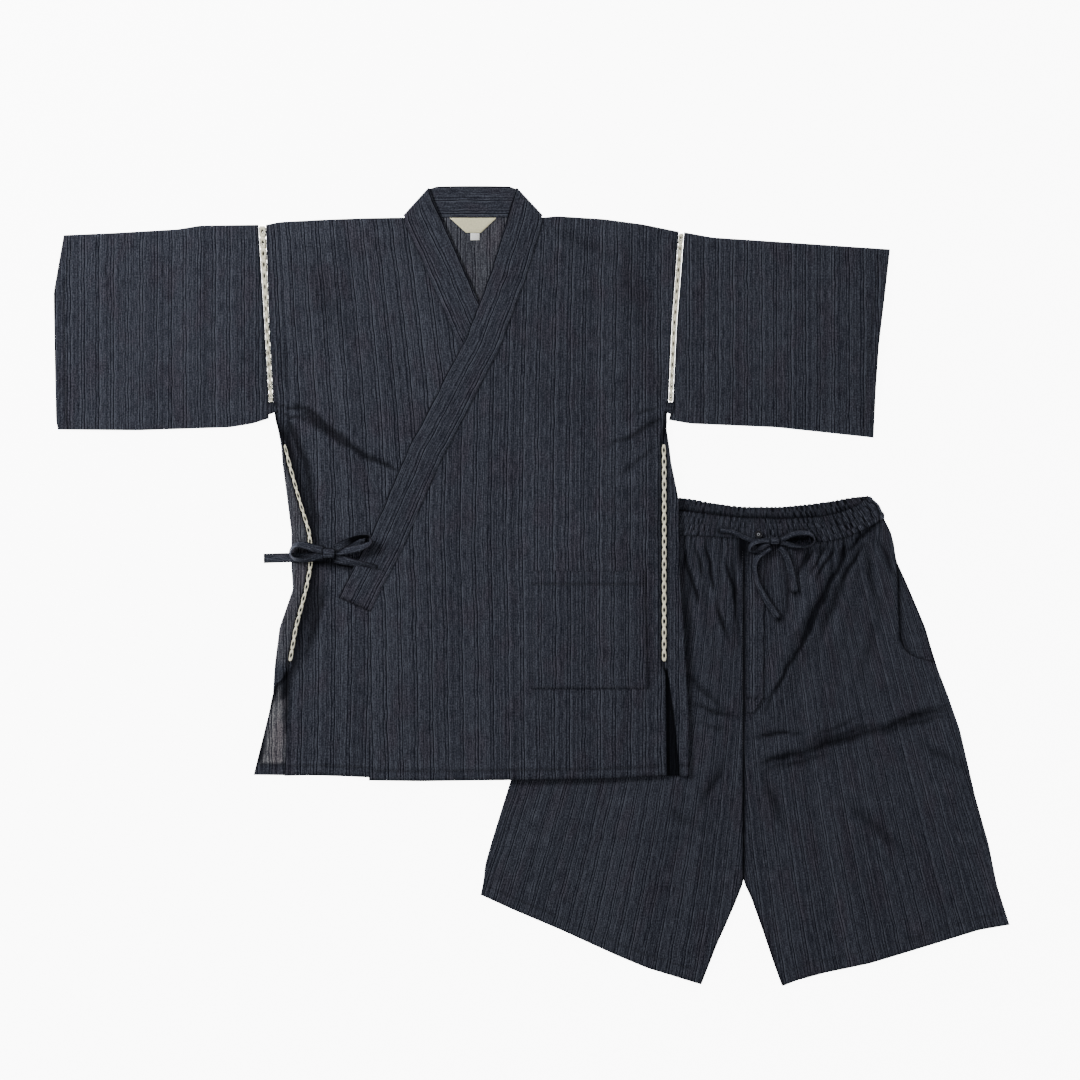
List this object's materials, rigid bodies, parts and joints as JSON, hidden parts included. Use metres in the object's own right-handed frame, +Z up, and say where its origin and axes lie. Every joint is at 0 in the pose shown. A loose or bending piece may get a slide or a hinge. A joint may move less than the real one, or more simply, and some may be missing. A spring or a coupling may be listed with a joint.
{
  "type": "jinbei summer set",
  "caption": "Man's summer set laid flat: a wrap jacket with a side bow, lace tape in its seams and a patch pocket, over shorts with a gathered waist and drawstring.",
  "frame": {"origin": "middle of the bounding box's base, on the surface that the set lies on", "axes": "+X towards the wearer's left along the longest side, +Y towards the shoulders, +Z up from the surface"},
  "size_m": [1.2887, 1.0792, 0.0191],
  "materials": {
    "cloth": "striped puckered cotton",
    "lace_tape": "ladder lace",
    "bare_label": "plain woven label",
    "drawstring_cord": "flat sewn cord",
    "button": "satin"
  },
  "bodies": {
    "root": {"back": "cloth", "front_right": "cloth", "front_left": "cloth", "sleeve_right": "cloth", "sleeve_left": "cloth", "collar": "cloth", "pocket": "cloth", "neck_label": "bare_label", "size_tab": "bare_label", "armhole_tape_right_front": "lace_tape", "armhole_tape_right_back": "lace_tape", "armhole_tape_left_front": "lace_tape", "armhole_tape_left_back": "lace_tape", "side_tape_right": "lace_tape", "side_tape_left": "lace_tape", "tie_outer": "cloth", "tie_inner": "cloth", "bow_knot": "cloth", "bow_loop_outer": "cloth", "bow_loop_inner": "cloth", "bow_end_outer": "cloth", "bow_end_inner": "cloth", "shorts_front_right": "cloth", "shorts_back_right": "cloth", "shorts_front_left": "cloth", "shorts_back_left": "cloth", "pocket_facing": "cloth", "waistband": "cloth", "fly": "cloth", "fly_button": "button", "drawstring_out_right": "drawstring_cord", "drawstring_out_left": "drawstring_cord", "drawstring_knot": "drawstring_cord", "drawstring_loop_left": "drawstring_cord", "drawstring_loop_right": "drawstring_cord", "drawstring_end_long": "drawstring_cord", "drawstring_end_short": "drawstring_cord"}
  },
  "joints": []
}
